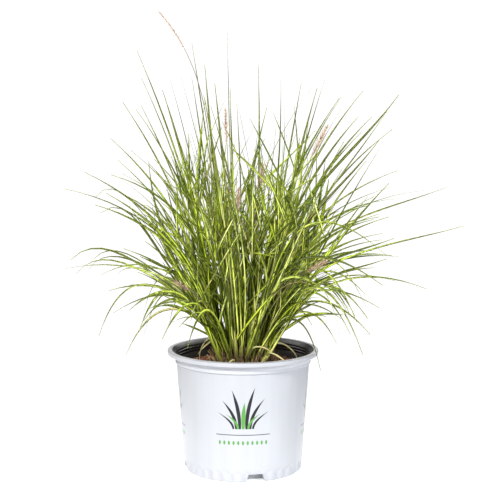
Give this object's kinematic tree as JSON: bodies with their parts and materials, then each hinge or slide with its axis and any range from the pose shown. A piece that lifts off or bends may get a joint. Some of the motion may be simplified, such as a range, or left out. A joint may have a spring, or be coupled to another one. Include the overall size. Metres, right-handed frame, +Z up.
{
  "type": "potted fountain grass clump",
  "caption": "Clump of fountain grass with arching narrow leaves and soft plumes, growing in a round white nursery pot of dark soil.",
  "frame": {"origin": "middle of the pot's flat underside, on the ground", "axes": "+Z up, -Y the front of the picture, +X to its right"},
  "size_m": [0.625, 0.4429, 0.722],
  "materials": {
    "pot_plastic": "satin",
    "potting_soil": "matte",
    "grass_crown": "matte",
    "grass_leaf": "satin",
    "grass_flower": "matte"
  },
  "bodies": {
    "root": {"pot": "pot_plastic", "soil": "potting_soil", "crown": "grass_crown", "shoot_01": "grass_leaf", "shoot_02": "grass_leaf", "shoot_03": "grass_leaf", "shoot_04": "grass_leaf", "shoot_05": "grass_leaf", "shoot_06": "grass_leaf", "shoot_07": "grass_leaf", "shoot_08": "grass_leaf", "shoot_09": "grass_leaf", "shoot_10": "grass_leaf", "shoot_11": "grass_leaf", "shoot_12": "grass_leaf", "shoot_13": "grass_leaf", "shoot_14": "grass_leaf", "shoot_15": "grass_leaf", "shoot_16": "grass_leaf", "shoot_17": "grass_leaf", "shoot_18": "grass_leaf", "shoot_19": "grass_leaf", "shoot_20": "grass_leaf", "shoot_21": "grass_leaf", "shoot_22": "grass_leaf", "shoot_23": "grass_leaf", "shoot_24": "grass_leaf", "shoot_25": "grass_leaf", "shoot_26": "grass_leaf", "shoot_27": "grass_leaf", "shoot_28": "grass_leaf", "shoot_29": "grass_leaf", "shoot_30": "grass_leaf", "shoot_31": "grass_leaf", "shoot_32": "grass_leaf", "shoot_33": "grass_leaf", "shoot_34": "grass_leaf", "shoot_35": "grass_leaf", "shoot_36": "grass_leaf", "shoot_37": "grass_leaf", "shoot_38": "grass_leaf", "shoot_39": "grass_leaf", "shoot_40": "grass_leaf", "shoot_41": "grass_leaf", "shoot_42": "grass_leaf", "shoot_43": "grass_leaf", "shoot_44": "grass_leaf", "shoot_45": "grass_leaf", "shoot_46": "grass_leaf", "shoot_47": "grass_leaf", "shoot_48": "grass_leaf", "shoot_49": "grass_leaf", "shoot_50": "grass_leaf", "flower_stem_1": "grass_flower", "flower_stem_2": "grass_flower", "flower_stem_3": "grass_flower", "flower_stem_4": "grass_flower", "flower_stem_5": "grass_flower", "flower_stem_6": "grass_flower", "flower_stem_7": "grass_flower"}
  },
  "joints": []
}
